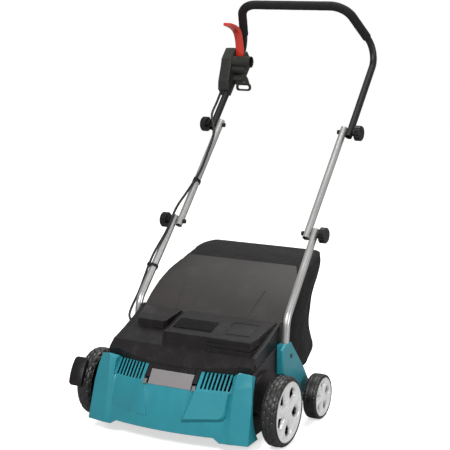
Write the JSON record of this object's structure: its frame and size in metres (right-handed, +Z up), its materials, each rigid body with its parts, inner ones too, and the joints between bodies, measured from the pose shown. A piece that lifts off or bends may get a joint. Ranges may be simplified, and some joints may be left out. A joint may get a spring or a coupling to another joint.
{
  "type": "lawn dethatcher",
  "caption": "Electric walk-behind lawn dethatcher with teal front hood, bladed roller, rear collection bag, cranked front wheels and a folding handle with red switch lever.",
  "frame": {"origin": "centre of the overall box on the ground, in the middle plane", "axes": "+Z up, the front faces -Y, +X is to the right in a front view"},
  "size_m": [0.5875, 0.9007, 1.081],
  "materials": {
    "teal_plastic": "moulded satin teal plastic",
    "black_plastic": "fine textured black plastic",
    "dark_plastic": "textured dark grey plastic",
    "flap_plastic": "satin dark grey plastic",
    "grey_panel": "silver grey painted plastic",
    "bright_trim": "bright silver plastic",
    "label_black": "blank glossy black plate",
    "silver_plastic": "silver painted plastic",
    "tyre_rubber": "black rubber tread",
    "bare_tube": "satin bare metal tube",
    "black_tube": "black powder coat",
    "black_steel": "black zinc or black paint on steel",
    "steel": "zinc plated steel",
    "blade_steel": "hardened steel",
    "motor_alloy": "cast alloy",
    "belt_rubber": "ribbed belt",
    "cable_rubber": "matt cable sheath",
    "foam": "closed-cell foam",
    "switch_plastic": "textured charcoal plastic",
    "red_plastic": "orange-red plastic",
    "bag_cloth": "black woven polyester"
  },
  "bodies": {
    "root": {"deck_housing": "dark_plastic", "wheel_arch_liners": "black_plastic", "front_hood": "teal_plastic", "motor_cover": "black_plastic", "front_panel": "grey_panel", "trim_clips": "bright_trim", "label_plate": "label_black", "handle_bracket_left": "teal_plastic", "handle_bracket_right": "teal_plastic", "lower_tube_left": "bare_tube", "lower_tube_right": "bare_tube", "motor_housing": "motor_alloy", "rear_axle": "steel", "cover_screws": "black_steel", "belt_cover": "black_plastic", "drive_belt": "belt_rubber", "roller_bearings": "black_plastic", "cable_lower": "cable_rubber", "cable_clip_lower": "black_plastic", "lower_clamp_bolts": "black_steel"},
    "front_crank": {"front_axle": "black_steel", "depth_lever": "black_plastic"},
    "front_wheel_left": {"front_tyre_left": "tyre_rubber", "front_rim_left": "silver_plastic"},
    "front_wheel_right": {"front_tyre_right": "tyre_rubber", "front_rim_right": "silver_plastic"},
    "rear_wheel_left": {"rear_tyre_left": "tyre_rubber", "rear_rim_left": "silver_plastic"},
    "rear_wheel_right": {"rear_tyre_right": "tyre_rubber", "rear_rim_right": "silver_plastic"},
    "roller": {"roller_shaft": "steel", "roller_blades": "blade_steel", "roller_spacers": "steel", "driven_pulley": "motor_alloy"},
    "rotor": {"motor_rotor": "steel", "drive_pulley": "motor_alloy", "cooling_fan": "black_plastic"},
    "flap": {"rear_flap": "flap_plastic"},
    "bag": {"bag_fabric": "bag_cloth", "bag_frame": "steel"},
    "middle_handle": {"middle_tube_left": "bare_tube", "middle_tube_right": "bare_tube", "cable_clip_middle": "black_plastic", "cable_middle": "cable_rubber"},
    "upper_handle": {"upper_handle_tube": "black_tube", "foam_grip": "foam", "switch_box_outer": "switch_plastic", "switch_box_inner": "switch_plastic", "power_inlet": "switch_plastic", "strain_relief_hook": "switch_plastic", "power_switch": "switch_plastic", "cable_upper": "cable_rubber", "upper_clamp_bolts": "black_steel"},
    "lever": {"switch_lever": "red_plastic"},
    "button": {"lock_button": "switch_plastic"},
    "knob_ll": {"knob_lower_left": "black_plastic"},
    "knob_lr": {"knob_lower_right": "black_plastic"},
    "knob_ul": {"knob_upper_left": "black_plastic"},
    "knob_ur": {"knob_upper_right": "black_plastic"}
  },
  "joints": [
    {"name": "depth_adjust", "type": "hinge", "parent": "root", "child": "front_crank", "pos_m": [0, -0.3425, 0.084], "axis": [1, 0, 0], "range_deg": [0, 30]},
    {"name": "front_wheel_left_spin", "type": "hinge", "parent": "front_crank", "child": "front_wheel_left", "pos_m": [-0.267, -0.3045, 0.09], "axis": [1, 0, 0], "continuous": true},
    {"name": "front_wheel_right_spin", "type": "hinge", "parent": "front_crank", "child": "front_wheel_right", "pos_m": [0.267, -0.3045, 0.09], "axis": [1, 0, 0], "continuous": true},
    {"name": "rear_wheel_left_spin", "type": "hinge", "parent": "root", "child": "rear_wheel_left", "pos_m": [-0.268, -0.078, 0.06], "axis": [1, 0, 0], "continuous": true},
    {"name": "rear_wheel_right_spin", "type": "hinge", "parent": "root", "child": "rear_wheel_right", "pos_m": [0.268, -0.078, 0.06], "axis": [1, 0, 0], "continuous": true},
    {"name": "roller_spin", "type": "hinge", "parent": "root", "child": "roller", "pos_m": [0, -0.1925, 0.062], "axis": [1, 0, 0], "continuous": true},
    {"name": "motor_spin", "type": "hinge", "parent": "root", "child": "rotor", "pos_m": [0, -0.2925, 0.15], "axis": [1, 0, 0], "continuous": true},
    {"name": "flap_hinge", "type": "hinge", "parent": "root", "child": "flap", "pos_m": [0, -0.1765, 0.27], "axis": [1, 0, 0], "range_deg": [0, 65]},
    {"name": "bag_lift_off", "type": "slide", "parent": "root", "child": "bag", "axis": [0, 0.9397, 0.342], "range_m": [0, 0.25]},
    {"name": "lower_fold", "type": "hinge", "parent": "root", "child": "middle_handle", "pos_m": [0, 0.0135, 0.476], "axis": [1, 0, 0], "range_deg": [0, 135], "deforming": ["cable_middle", "cable_lower"]},
    {"name": "upper_fold", "type": "hinge", "parent": "middle_handle", "child": "upper_handle", "pos_m": [0, 0.25851, 0.72101], "axis": [1, 0, 0], "range_deg": [-150, 0], "deforming": ["cable_upper", "cable_middle"]},
    {"name": "lever_squeeze", "type": "hinge", "parent": "upper_handle", "child": "lever", "pos_m": [0, 0.39958, 0.90734], "axis": [1, 0, 0], "range_deg": [-8, 0], "stiffness_Nm_per_rad": 1.5, "springref_deg": 17.19},
    {"name": "lock_button_press", "type": "slide", "parent": "upper_handle", "child": "button", "axis": [-1, 0, 0], "range_m": [0, 0.003], "stiffness_N_per_m": 300, "springref_m": -0.004},
    {"name": "knob_lower_left_turn", "type": "hinge", "parent": "root", "child": "knob_ll", "pos_m": [-0.239, 0.0135, 0.476], "axis": [1, 0, 0], "continuous": true},
    {"name": "knob_lower_right_turn", "type": "hinge", "parent": "root", "child": "knob_lr", "pos_m": [0.239, 0.0135, 0.476], "axis": [1, 0, 0], "continuous": true},
    {"name": "knob_upper_left_turn", "type": "hinge", "parent": "upper_handle", "child": "knob_ul", "pos_m": [-0.239, 0.25851, 0.72101], "axis": [1, 0, 0], "continuous": true},
    {"name": "knob_upper_right_turn", "type": "hinge", "parent": "upper_handle", "child": "knob_ur", "pos_m": [0.239, 0.25851, 0.72101], "axis": [1, 0, 0], "continuous": true}
  ],
  "couplings": [
    {"joint": "motor_spin", "follows": "roller_spin", "ratio": 2.3333}
  ]
}
